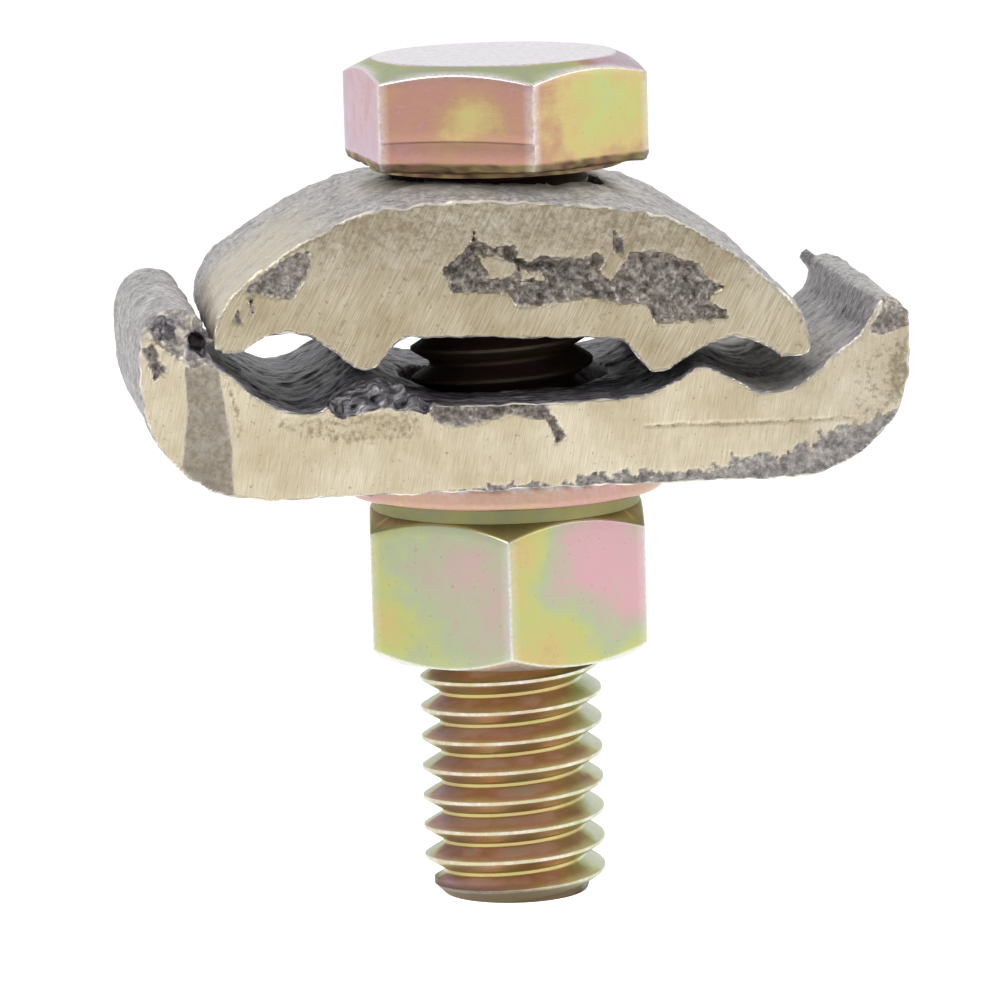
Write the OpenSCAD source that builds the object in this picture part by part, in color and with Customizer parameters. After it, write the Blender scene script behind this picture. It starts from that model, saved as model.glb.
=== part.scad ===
// Cast clamp that ties two parallel cables to a plate with one hex bolt.
// Origin: bolt axis on the base's underside, the face that lies on the plate.
// +Z points to the bolt head, and the cable grooves run along Y.

/* [Base] */
// Distance from the bolt axis to the outer side of the left flange
left_half = 19.6; // [17.5:0.1:23]
// Distance from the bolt axis to the outer side of the right flange
right_half = 20; // [17.5:0.1:23]
// Length of the base along the cables
base_len = 18.6; // [14:0.1:26]
// Thickness of the base under the grooves and at its floor
base_floor = 4.45; // [3:0.05:7]
// Radius of the lower corner under the left flange
left_corner_r = 6.2; // [3:0.1:7.5]
// Radius of the lower corner under the right flange
right_corner_r = 6.1; // [3:0.1:7.5]
// Height of the left flange's rim above the floor
left_flange_h = 5.35; // [4.5:0.05:9]
// Height of the right flange's rim above the floor
right_flange_h = 4.6; // [4.5:0.05:9]
// Thickness of the left flange at its foot, the heavier of the two
left_flange_t = 3.65; // [2.4:0.05:5]
// Thickness of the right flange at its foot
right_flange_t = 2.5; // [2:0.1:4.5]
// Lean of the left flange's inner wall, in degrees from upright
left_wall_lean = 6; // [0:1:20]
// Lean of the right flange's inner wall, in degrees from upright
right_wall_lean = 30; // [0:1:32]
// Rounding of the left rim's inner edge
left_rim_r = 1.5; // [0.2:0.1:1.6]
// Rounding of the right rim's inner edge
right_rim_r = 0.5; // [0.2:0.1:0.6]
// Slope of the flange's inner foot, in degrees
foot_slope = 38; // [25:1:48]
// Distance from a flange's inner wall to the middle of its groove
foot_run = 4.6; // [4:0.1:6]
// Distance from the middle of a groove to the rib beside it
rib_run = 3.7; // [3.4:0.1:4.6]
// Height of the base's ribs above its floor
rib_h = 1.5; // [0.8:0.1:2]
// Rounding of the base's ribs
rib_r = 1.2; // [0.6:0.1:1.4]
// Hollow fillet from the floor up to a rib
floor_fillet_r = 6; // [3:0.5:8]

/* [Saddle] */
// Width of the saddle from lip to lip
saddle_w = 30.6; // [28:0.1:31]
// Length of the saddle along the cables
saddle_len = 18.6; // [14:0.1:26]
// Height of the saddle from its ribs to the top of its arch
saddle_h = 9.55; // [7:0.05:13]
// Radius of the shoulders, where the arch turns down to the lips
shoulder_r = 3.8; // [2.5:0.1:5]
// Radius of the saddle's top at its two ends, flatter than the arch between them
end_arch_r = 45; // [30:1:80]
// How far the saddle's ends drop below its middle, along the cables
crown_drop = 0.8; // [0.3:0.1:1.2]
// Height of the lips above the saddle's ribs
lip_z = 0.75; // [0.3:0.05:1.2]
// Rounding of the lips
lip_r = 0.55; // [0.3:0.05:0.9]
// Distance from the bolt axis to the saddle's grooves
saddle_groove_x = 11.5; // [10.5:0.1:12]
// Depth of the saddle's grooves above its ribs
saddle_groove_h = 1.8; // [1.4:0.1:2.4]
// Distance from the bolt axis to the saddle's ribs
saddle_rib_x = 7.5; // [7.2:0.1:8]
// Rounding of the saddle's ribs
saddle_rib_r = 1; // [0.6:0.1:1.1]
// Half width of the flat roof of the recess between the ribs
recess_flat = 5.2; // [3:0.1:5.4]
// Depth of the recess above the ribs
recess_h = 1.7; // [1.2:0.1:2.4]
// Fillet in the corners of the recess
recess_r = 1; // [0.5:0.1:1.1]
// Depth of the gas hollows that grinding opened in the saddle's front end
hollow_depth = 0.5; // [0.1:0.1:1]
// Tilt of the empty saddle as it lies on the base, left side up
saddle_tilt = 2.8; // [0:0.1:3.5]
// Turn of the empty saddle about the bolt, from square with the base
saddle_turn = -1.4; // [-3:0.1:3]
// How far the empty saddle lies to the right of the bolt axis
saddle_shift = -0.35; // [-0.4:0.05:0.1]
// Vertical gap between the base's ribs and the level of the saddle's ribs
jaw_gap = 0.15; // [0.15:0.05:12]

/* [Both jaws] */
// Radius of a cable groove
groove_r = 3; // [2.4:0.1:3.6]
// Diameter of the cored bolt holes
bolt_hole_d = 11.1; // [10.9:0.1:12]

/* [Bolt] */
// Major diameter of the bolt's thread
bolt_d = 9.525; // [9.3:0.005:9.8]
// Length of the bolt under its head
bolt_len = 38.5; // [32:0.1:60]
// Pitch of the thread, which sets the chamfer at the bolt's end
thread_pitch = 1.5875; // [1:0.0125:2]
// Width of the head and the nut across their flats
hex_af = 14.29; // [13.5:0.01:15.5]
// Height of the head
head_h = 5.75; // [5:0.05:8]
// Diameter of the head's flat top
head_top_d = 12.6; // [10:0.1:13]
// Chamfer angle of the head's top corners
head_chamfer = 25; // [15:1:35]
// Thickness of the round bearing face under the head
head_face_t = 0.5; // [0.2:0.05:0.8]
// Angle at which the head stopped, one corner from +X
head_turn = 37; // [0:1:59]

/* [Washer and nut] */
// Outer diameter of the washer
washer_d = 16.7; // [15.5:0.1:20]
// Thickness of the washer
washer_t = 1.3; // [0.8:0.1:2.6]
// Height of the nut with its bearing face
nut_h = 8.5; // [6:0.1:10]
// Thickness of the nut's round bearing face
nut_face_t = 0.8; // [0.3:0.1:1.2]
// Chamfer angle of the nut's corners
nut_chamfer = 33; // [20:1:40]
// Angle at which the nut stopped, one corner from +X
nut_turn = 24; // [0:1:59]

/* [Fits] */
// Gap between pieces that bear on each other but turn or slide apart
seat_gap = 0.05; // [0.02:0.01:0.2]
// Radial clearance of the bolt in the nut
nut_clearance = 0.05; // [0.02:0.01:0.09]
// Radial clearance of the bolt in the washer
washer_clearance = 0.4; // [0.2:0.05:0.8]
// Radial margin of the bearing faces inside the flats
face_margin = 0.1; // [0.05:0.05:0.5]

/* [Hidden] */

$fn = 96;
arc_steps = 10;
crown_facets = 240;
cut = 1;                 // how far a cutting tool runs past the face it cuts
crown_step = 0.05;       // keeps a lengthwise crown clear of the section's own top line

bronze = "#bdb48f";
yellow_zinc = "#c2a878";

// Gas hollows of the saddle's front end and the metal left flush in them, as shares of the saddle's
// half width and height
gas_hollow = [
    [-0.23, 0.54], [-0.14, 0.69], [0.01, 0.67], [0.06, 0.57], [0.26, 0.63], [0.32, 0.53], [0.38, 0.63],
    [0.46, 0.66], [0.61, 0.6], [0.71, 0.47], [0.65, 0.4], [0.71, 0.31], [0.48, 0.27], [0.43, 0.37],
    [0.11, 0.36], [-0.21, 0.42]
];
flush_metal = [[-0.13, 0.62], [0.01, 0.57], [0.11, 0.51], [0.1, 0.48], [-0.08, 0.49]];
shoulder_hollow = [[-0.89, 0.42], [-0.8, 0.54], [-0.68, 0.63], [-0.7, 0.46], [-0.75, 0.38], [-0.83, 0.38]];

rim_z = base_floor + max(left_flange_h, right_flange_h);
rib_top_z = base_floor + rib_h;
saddle_half = saddle_w / 2;
spring_z = lip_z + lip_r;
arch_r = (pow(saddle_half - shoulder_r, 2) + pow(saddle_h - spring_z, 2) - pow(shoulder_r, 2))
    / (2 * (saddle_h - spring_z - shoulder_r));
saddle_z = rib_top_z + jaw_gap;
head_z = saddle_z + saddle_h + seat_gap;
bolt_r = bolt_d / 2;
thread_depth = 0.6134 * thread_pitch;
hex_corner_r = hex_af / 2 / cos(30);
bearing_r = hex_af / 2 - face_margin;
nut_top_z = -washer_t - seat_gap;

// Point at angle a on a circle
function on_circle(c, r, a) = [c.x + r * cos(a), c.y + r * sin(a)];

// Points along an arc
function arc(c, r, from, to) =
    [for (i = [0:arc_steps]) on_circle(c, r, from + (to - from) * i / arc_steps)];

function mirrored(points) = [for (i = [len(points) - 1:-1:0]) [-points[i].x, points[i].y]];

// Angle of the normal of the straight run that joins a hollow arc to a rounded rib.
// The normal points to the hollow's centre, and turn picks one of the two runs.
function run_normal(hollow, hollow_r, rib, round_r, turn) =
    let (d = hollow - rib)
    atan2(d.y, d.x) + turn * acos(min(1, (hollow_r + round_r) / norm(d)));

// One half of the base's section, from the floor outwards and round to the underside
function base_side(half, flange_t, flange_h, lean, rim_r, corner_r) =
    let (
        wall_x = half - flange_t,
        top_z = base_floor + flange_h,
        groove = [wall_x - foot_run, base_floor + groove_r],
        rib = [groove.x - rib_run, rib_top_z - rib_r],
        fillet_run = sqrt(pow(floor_fillet_r + rib_r, 2) - pow(base_floor + floor_fillet_r - rib.y, 2)),
        fillet = [rib.x - fillet_run, base_floor + floor_fillet_r],
        fillet_end = atan2(rib.y - fillet.y, rib.x - fillet.x),
        run = run_normal(groove, groove_r, rib, rib_r, 1),
        foot = on_circle(groove, groove_r, foot_slope - 90),
        foot_top = [wall_x, foot.y + (wall_x - foot.x) * tan(foot_slope)],
        rim = [foot_top.x + (top_z - rim_r - foot_top.y) * tan(lean) + rim_r / cos(lean), top_z - rim_r],
        outer_r = half - rim.x
    )
    concat(
        arc(fillet, floor_fillet_r, -90, fillet_end),
        arc(rib, rib_r, fillet_end + 180, run),
        arc(groove, groove_r, run + 180, foot_slope + 270),
        [foot_top],
        arc(rim, rim_r, 180 - lean, 90),
        arc([rim.x, top_z - outer_r], outer_r, 90, 0),
        arc([half - corner_r, corner_r], corner_r, 0, -90)
    );

// Right half of the saddle's section, from the recess along the underside to the top of the arch
function saddle_side() =
    let (
        recess = [recess_flat, recess_h - recess_r],
        rib = [saddle_rib_x, saddle_rib_r],
        groove = [saddle_groove_x, saddle_groove_h - groove_r],
        recess_run = run_normal(recess, recess_r, rib, saddle_rib_r, 1),
        groove_run = run_normal(groove, groove_r, rib, saddle_rib_r, -1),
        shoulder = [saddle_half - shoulder_r, spring_z],
        arch = [0, saddle_h - arch_r],
        shoulder_end = atan2(shoulder.y - arch.y, shoulder.x - arch.x)
    )
    concat(
        arc(recess, recess_r, 90, recess_run + 180),
        arc(rib, saddle_rib_r, recess_run, groove_run),
        arc(groove, groove_r, groove_run + 180, asin((lip_z - groove.y) / groove_r)),
        arc([saddle_half - lip_r, spring_z], lip_r, -90, 0),
        arc(shoulder, shoulder_r, 0, shoulder_end),
        arc(arch, arch_r, shoulder_end, 90)
    );

// A section drawn in X and Z, run along the cables
module run_section(points, jaw_len) {
    rotate([90, 0, 0])
        linear_extrude(jaw_len, center = true)
            polygon(points);
}

// Turns its child about a line along X, so that a profile of radius and X falls away towards both ends
module crowned(top_z, radius) {
    translate([0, 0, top_z - crown_step - radius])
        rotate([0, 90, 0])
            rotate_extrude($fn = crown_facets)
                children();
}

// Sinks its child, drawn in shares of the saddle's half width and height, into the saddle's front end
module sunk_in_front() {
    translate([0, hollow_depth - saddle_len / 2, 0])
        rotate([90, 0, 0])
            linear_extrude(hollow_depth + cut)
                scale([saddle_half, saddle_h])
                    children();
}

// Upright bolt hole through a jaw of the given height
module bolt_hole(height) {
    translate([0, 0, -cut])
        cylinder(d = bolt_hole_d, h = height + 2 * cut);
}

// Hexagon kept inside a turned profile of radius and height pairs
module turned_hex(profile, low, high, turn) {
    intersection() {
        translate([0, 0, low])
            rotate([0, 0, turn])
                cylinder(r = hex_corner_r, h = high - low, $fn = 6);
        rotate_extrude()
            polygon(profile);
    }
}

module clamp_base() {
    right = base_side(
        right_half, right_flange_t, right_flange_h, right_wall_lean, right_rim_r, right_corner_r
    );
    left = base_side(left_half, left_flange_t, left_flange_h, left_wall_lean, left_rim_r, left_corner_r);
    color(bronze)
        difference() {
            run_section(concat(right, mirrored(left)), base_len);
            bolt_hole(rim_z);
        }
}

module clamp_saddle() {
    section = concat(saddle_side(), mirrored(saddle_side()));
    back_r = (pow(saddle_len / 2, 2) + pow(crown_drop, 2)) / (2 * crown_drop);
    back_end = saddle_half + cut;
    back_side = arc([0, back_r - end_arch_r], end_arch_r, acos(back_end / end_arch_r), 90);
    back = [for (p = concat(back_side, mirrored(back_side))) [p.y, p.x]];
    color(bronze)
        translate([saddle_shift, 0, saddle_z])
            rotate([0, saddle_tilt, saddle_turn])
                difference() {
                    intersection() {
                        run_section(section, saddle_len);
                        crowned(saddle_h, back_r)
                            polygon(concat([[0, back_end]], back, [[0, -back_end]]));
                    }
                    bolt_hole(saddle_h);
                    sunk_in_front()
                        difference() {
                            polygon(gas_hollow);
                            polygon(flush_metal);
                        }
                    sunk_in_front()
                        polygon(shoulder_hollow);
                }
}

module hex_bolt() {
    outer_r = hex_corner_r + cut;
    top_r = head_top_d / 2;
    chamfer_z = head_h - (outer_r - top_r) * tan(head_chamfer);
    head_profile = [[0, 0], [outer_r, 0], [outer_r, chamfer_z], [top_r, head_h], [0, head_h]];
    shank_profile = [
        [0, head_face_t],
        [bearing_r, head_face_t],
        [bearing_r, 0],
        [bolt_r, 0],
        [bolt_r, thread_depth - bolt_len],
        [bolt_r - thread_depth, -bolt_len],
        [0, -bolt_len]
    ];
    color(yellow_zinc)
        translate([0, 0, head_z]) {
            turned_hex(head_profile, head_face_t, head_h, head_turn);
            rotate_extrude()
                polygon(shank_profile);
        }
}

module flat_washer() {
    color(yellow_zinc)
        translate([0, 0, -washer_t])
            difference() {
                cylinder(d = washer_d, h = washer_t);
                translate([0, 0, -cut])
                    cylinder(r = bolt_r + washer_clearance, h = washer_t + 2 * cut);
            }
}

module hex_nut() {
    outer_r = hex_corner_r + cut;
    chamfer_h = (outer_r - bearing_r) * tan(nut_chamfer);
    profile = [
        [0, 0],
        [bearing_r, 0],
        [bearing_r, -nut_face_t],
        [outer_r, -nut_face_t - chamfer_h],
        [outer_r, chamfer_h - nut_h],
        [bearing_r, -nut_h],
        [0, -nut_h]
    ];
    color(yellow_zinc)
        translate([0, 0, nut_top_z])
            difference() {
                turned_hex(profile, -nut_h, 0, nut_turn);
                translate([0, 0, -nut_h - cut])
                    cylinder(r = bolt_r + nut_clearance, h = nut_h + 2 * cut);
            }
}

clamp_base();
clamp_saddle();
hex_bolt();
flat_washer();
hex_nut();
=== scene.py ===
# %% [markdown]
# # A cast clamp that ties cables to a plate
#
# Two sand-cast bronze jaws grip a pair of cables, and one yellow-plated bolt, washer and nut pull
# them together on a plate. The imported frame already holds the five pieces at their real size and
# place. This lesson gives each piece the form and the finish that casting, grinding, thread rolling
# and plating leave on the real one. It never moves a piece.

# %% Load the frame
import math

import bmesh
import bpy
import numpy as np
from mathutils import Matrix, Vector, noise


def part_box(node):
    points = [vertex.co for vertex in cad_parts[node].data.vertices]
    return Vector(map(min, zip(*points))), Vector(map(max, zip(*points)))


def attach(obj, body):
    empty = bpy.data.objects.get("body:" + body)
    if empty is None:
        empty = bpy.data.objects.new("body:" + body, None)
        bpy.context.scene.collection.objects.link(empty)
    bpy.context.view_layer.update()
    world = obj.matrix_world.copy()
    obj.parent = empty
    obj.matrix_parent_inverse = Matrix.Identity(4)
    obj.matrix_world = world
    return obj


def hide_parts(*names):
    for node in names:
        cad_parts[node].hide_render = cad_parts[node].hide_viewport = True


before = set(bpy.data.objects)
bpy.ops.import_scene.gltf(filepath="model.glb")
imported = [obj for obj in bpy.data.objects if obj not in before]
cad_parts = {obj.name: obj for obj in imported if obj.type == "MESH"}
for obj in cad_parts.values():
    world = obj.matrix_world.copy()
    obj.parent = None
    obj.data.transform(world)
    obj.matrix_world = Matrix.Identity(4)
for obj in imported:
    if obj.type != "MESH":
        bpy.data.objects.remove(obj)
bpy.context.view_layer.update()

MM = 0.001

# %% [markdown]
# ## Colours and nodes
# A colour is written as the sRGB hex value that a colour picker shows, and shaders want linear
# light, so one function converts it. Materials are built from nodes in code: one small function adds
# a node, sets its own properties and fills its inputs, which keeps each material short to read.

# %% Helpers for materials
def linear(hex_colour):
    """sRGB hex to the linear colour that a shader socket takes."""
    channels = [int(hex_colour[i:i + 2], 16) / 255 for i in (1, 3, 5)]
    return [c / 12.92 if c <= 0.04045 else ((c + 0.055) / 1.055) ** 2.4 for c in channels] + [1.0]


def add(tree, kind, inputs=(), stops=(), **settings):
    """Adds a node with its settings, fills its inputs with values or links, and sets a ramp's stops."""
    node = tree.nodes.new(kind)
    for name, value in settings.items():
        setattr(node, name, value)
    for key, value in dict(inputs).items():
        if isinstance(value, bpy.types.NodeSocket):
            tree.links.new(value, node.inputs[key])
        else:
            node.inputs[key].default_value = value
    for index, (position, colour) in enumerate(stops):
        ramp = node.color_ramp.elements
        stop = ramp[index] if index < 2 else ramp.new(position)
        stop.position = position
        stop.color = linear(colour)
    return node


def per_mm(size):
    """Scale of a noise texture whose features are about this many millimetres."""
    return 1 / (size * MM)


# Sockets of a Mix node: its factor, its two numbers, its two colours, and where the colour comes out
FACTOR, NUMBER_A, NUMBER_B, COLOUR_A, COLOUR_B, COLOUR_OUT = 0, 2, 3, 6, 7, 2
print("helpers ready")

# %% [markdown]
# ## Cast bronze
# The jaws are sand-cast bronze: grey and grainy where the sand shaped them, black with grease and
# painted shade in the grooves, in chipped hollows and on faces that turn down, and pale khaki where
# the two ends were ground on a belt, which leaves fine slanting scratches. Gas pits show as rough
# brown hollows in the ground faces, thin edges are rubbed bright, and painted highlights and painted
# light brighten pit rims, the right groove and the saddle under the bolt's head. These are one metal,
# so they are one material, and the mesh says which is where through five point attributes: ground
# faces, grease with painted shade, pits, stains, and wear with painted light. Each jaw was ground at
# its own slant and on its own belt, so each has its own copy. The patterns come first: noises of real
# sizes, two of them drawn out along the belt and round the grooves.

# %% Patterns of the bronze
GRIT = 0.06                # width of a grinding scratch, drawn coarser than the real one so that it shows
GRIT_LENGTH = 24           # a scratch is this many times longer than wide
SMEAR = 0.2                # width of a streak of grease
SMEAR_LENGTHS = (6, 1, 3)  # how far it is drawn out round a groove
SAND_GRAIN = 0.28          # grain that the moulding sand leaves
SAND_CLUMP = 1.3           # patches of finer and coarser sand
TARNISH = 3.5              # clouds in the ground metal
PINHOLE = 0.32             # specks in the ground metal


def bronze_patterns(tree, scratch_lean):
    """Noises for scratches, smears, grain, clumps, tarnish and pinholes."""
    place = add(tree, "ShaderNodeTexCoord").outputs["Object"]
    along_belt = add(tree, "ShaderNodeMapping", {
        "Vector": place, "Rotation": (0, scratch_lean, 0), "Scale": (1, 1, GRIT_LENGTH),
    }, vector_type="TEXTURE").outputs[0]
    round_groove = add(tree, "ShaderNodeMapping", {
        "Vector": place, "Scale": SMEAR_LENGTHS,
    }, vector_type="TEXTURE").outputs[0]
    return [
        add(tree, "ShaderNodeTexNoise", {
            "Vector": where, "Scale": per_mm(size), "Detail": detail, "Roughness": 0.6,
        }).outputs[0]
        for where, size, detail in (
            (along_belt, GRIT, 2), (round_groove, SMEAR, 3), (place, SAND_GRAIN, 4),
            (place, SAND_CLUMP, 3), (place, TARNISH, 4), (place, PINHOLE, 2),
        )
    ]


print("bronze: scratches", GRIT, "mm wide, sand of", SAND_GRAIN, "mm")

# %% [markdown]
# Its colour is laid on as the metal got it: grey from the sand first, then grease together with
# painted shade, then the ground faces, the pits that grinding opened, brown blots, and last the edges
# that are rubbed bright, a layer that also carries painted highlights and painted light. Every layer
# is mixed over the ones before it by its attribute.

# %% Colours of the bronze
# The grease ramp also colours painted shade, and the rubbed bright colour also paints highlights and light.
CAST_HUES = ((0.32, "#767374"), (0.70, "#dedbda"), (0.45, "#a19e9e"), (0.56, "#c2bfbf"))
GREASE_AND_SHADE_HUES = ((0.34, "#2b292d"), (0.72, "#d6d3da"), (0.48, "#5d5a60"), (0.58, "#8b888f"))
PIT_HUES = ((0.34, "#4e4a48"), (0.68, "#ece5da"), (0.46, "#7f7873"), (0.56, "#a69e96"))
TARNISH_HUES = ((0.35, "#d3c8b2"), (0.65, "#ffffff"))
PORE_BROWN, BLOT_BROWN, RUBBED_AND_PAINTED_LIGHT = "#857b66", "#83765f", "#efe8d8"


def ground_metal(tree, hues, scratch, tarnish, pinhole):
    """Colour of a ground end: scratches, clouded by tarnish and dotted with open pores."""
    dark, middle, light = hues
    scratched = add(tree, "ShaderNodeValToRGB", {"Fac": scratch}, stops=(
        (0.34, dark), (0.66, light), (0.50, middle),
    )).outputs[0]
    clouds = add(tree, "ShaderNodeValToRGB", {"Fac": tarnish}, stops=TARNISH_HUES).outputs[0]
    clouded = add(tree, "ShaderNodeMix", {
        FACTOR: 0.6, COLOUR_A: scratched, COLOUR_B: clouds,
    }, data_type="RGBA", blend_type="MULTIPLY").outputs[COLOUR_OUT]
    open_pore = add(tree, "ShaderNodeMapRange", {
        "Value": pinhole, "From Min": 0.64, "From Max": 0.72, "To Max": 0.55,
    }).outputs[0]
    return add(tree, "ShaderNodeMix", {
        FACTOR: open_pore, COLOUR_A: clouded, COLOUR_B: linear(PORE_BROWN),
    }, data_type="RGBA").outputs[COLOUR_OUT]


def bronze_colour(tree, finishes, ground_colour, sand, grain, smear):
    """As-cast grey, then grease and painted shade, ground metal, pits, blots, and wear with painted light.
    """
    cast_colour, grease_and_shade_colour, pit_colour = [
        add(tree, "ShaderNodeValToRGB", {"Fac": pattern}, stops=hues).outputs[0]
        for pattern, hues in ((sand, CAST_HUES), (smear, GREASE_AND_SHADE_HUES), (sand, PIT_HUES))
    ]
    blot = add(tree, "ShaderNodeMath", {
        0: finishes["stain"], 1: 0.6, 2: grain,
    }, operation="MULTIPLY_ADD").outputs[0]
    blot = add(tree, "ShaderNodeMapRange", {
        "Value": blot, "From Min": 0.74, "From Max": 1.0, "To Max": 0.8,
    }).outputs[0]
    colour = cast_colour
    # The dark grease layer carries painted shade too, and the last, bright layer carries painted highlights
    # and painted light along with the wear.
    for share, layer in (
        (finishes["dirt"], grease_and_shade_colour), (finishes["ground"], ground_colour),
        (finishes["pit"], pit_colour), (blot, linear(BLOT_BROWN)),
        (finishes["worn"], linear(RUBBED_AND_PAINTED_LIGHT)),
    ):
        colour = add(tree, "ShaderNodeMix", {
            FACTOR: share, COLOUR_A: colour, COLOUR_B: layer,
        }, data_type="RGBA").outputs[COLOUR_OUT]
    return colour


print("bronze: five finishes over as-cast grey")

# %% [markdown]
# Sand leaves the skin rough and scattering, while a belt and rubbing leave bare metal that mirrors a
# little. So roughness and the metallic share follow how bare the metal is, the sand's bump fades out
# there, and the belt's scratches fade in.

# %% Material for the jaws
CLUMPING = 0.35            # share of the clumps in the sand's pattern
GREASE_ROUGHNESS = 0.4
SAND_BUMP = 0.16           # relief of the sand
SCRATCH_BUMP = 0.015       # relief of the scratches


def bronze_relief(tree, bare, ground, sand, scratch):
    """Bump of sand where the metal isn't bare, and of scratches where it is ground."""
    covered = add(tree, "ShaderNodeMath", {
        0: 1.0, 1: bare,
    }, operation="SUBTRACT", use_clamp=True).outputs[0]
    sand_height = add(tree, "ShaderNodeMath", {0: sand, 1: covered}, operation="MULTIPLY").outputs[0]
    sand_normal = add(tree, "ShaderNodeBump", {
        "Height": sand_height, "Strength": 0.8, "Distance": SAND_BUMP * MM,
    }).outputs[0]
    scratch_height = add(tree, "ShaderNodeMath", {0: scratch, 1: ground}, operation="MULTIPLY").outputs[0]
    return add(tree, "ShaderNodeBump", {
        "Height": scratch_height, "Strength": 0.3, "Distance": SCRATCH_BUMP * MM, "Normal": sand_normal,
    }).outputs[0]


def cast_bronze(name, ground_hues, scratch_lean):
    """Bronze with its five finishes. The lean is the scratches', from upright."""
    material = bpy.data.materials.new(name)
    material.use_nodes = True
    tree = material.node_tree
    tree.nodes.clear()
    finishes = {
        finish: add(tree, "ShaderNodeAttribute", attribute_name=finish).outputs["Fac"]
        for finish in ("ground", "dirt", "pit", "stain", "worn")
    }
    ground = finishes["ground"]
    scratch, smear, grain, clump, tarnish, pinhole = bronze_patterns(tree, scratch_lean)
    sand = add(tree, "ShaderNodeMix", {FACTOR: CLUMPING, NUMBER_A: grain, NUMBER_B: clump}).outputs[0]
    ground_colour = ground_metal(tree, ground_hues, scratch, tarnish, pinhole)

    bare = add(tree, "ShaderNodeMath", {
        0: ground, 1: finishes["worn"],
    }, operation="MAXIMUM").outputs[0]
    metallic, cast_roughness, ground_roughness = [
        add(tree, "ShaderNodeMapRange", {"Value": pattern, "To Min": low, "To Max": high}).outputs[0]
        for pattern, low, high in ((bare, 0.4, 0.9), (grain, 0.5, 0.75), (scratch, 0.36, 0.52))
    ]
    roughness = add(tree, "ShaderNodeMix", {
        FACTOR: bare, NUMBER_A: cast_roughness, NUMBER_B: ground_roughness,
    }).outputs[0]
    roughness = add(tree, "ShaderNodeMix", {
        FACTOR: finishes["dirt"], NUMBER_A: roughness, NUMBER_B: GREASE_ROUGHNESS,
    }).outputs[0]
    shader = add(tree, "ShaderNodeBsdfPrincipled", {
        "Base Color": bronze_colour(tree, finishes, ground_colour, sand, grain, smear),
        "Metallic": metallic,
        "Roughness": roughness,
        "Normal": bronze_relief(tree, bare, ground, sand, scratch),
    })
    add(tree, "ShaderNodeOutputMaterial", {"Surface": shader.outputs[0]})
    return material


BASE_GROUND = ("#cfc4aa", "#dcd1b8", "#e6ddc7")
SADDLE_GROUND = ("#b4a890", "#c5baa1", "#d3cab6")
base_bronze = cast_bronze("Sand-cast bronze, base", BASE_GROUND, math.radians(12))
saddle_bronze = cast_bronze("Sand-cast bronze, saddle", SADDLE_GROUND, math.radians(27))
print("materials:", base_bronze.name, "and", saddle_bronze.name)

# %% [markdown]
# ## Yellow zinc
# The bolt, washer and nut are steel with zinc plate and a yellow chromate film. The film is thin
# enough to show interference colours, so its hue follows its thickness: lilac, rose, straw, green and
# pink again, in rings across each flat. The meshes carry that thickness as the attribute `film`, with
# `silver` where plating or edges are rubbed bare, and a third attribute for where the film is brown
# and dead, as on the thread's flanks. That brown also paints shade: inside the jaws, beside the
# thread's sides, on the nut's bearing face, and as a painted shadow on the washer's rim. A ramp turns
# thickness into hue, and fine level lines show the drawn bar stock.

# %% Material for the plated pieces
FILM_HUES = (
    (0.00, "#bfaab8"), (1.00, "#cba3a8"), (0.12, "#c6a0aa"), (0.26, "#b5887c"), (0.40, "#b79374"),
    (0.52, "#c4b27a"), (0.64, "#b8bb78"), (0.76, "#acb593"), (0.88, "#b8ac9c"),
)
PINPRICK_BROWN, DULL_BROWN_AND_SHADE, BARE_ZINC = "#83715f", "#4d3b38", "#e8e7eb"
MOTTLE = 1.1               # clouds in the film
SPECK = 0.22               # dents and pinpricks in the plate
DENT = 0.02                # depth of the dents
BRUSH = 0.1                # spacing of the level lines on the flats
BRUSH_LENGTH = 16          # a line is this many times longer than wide


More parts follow.
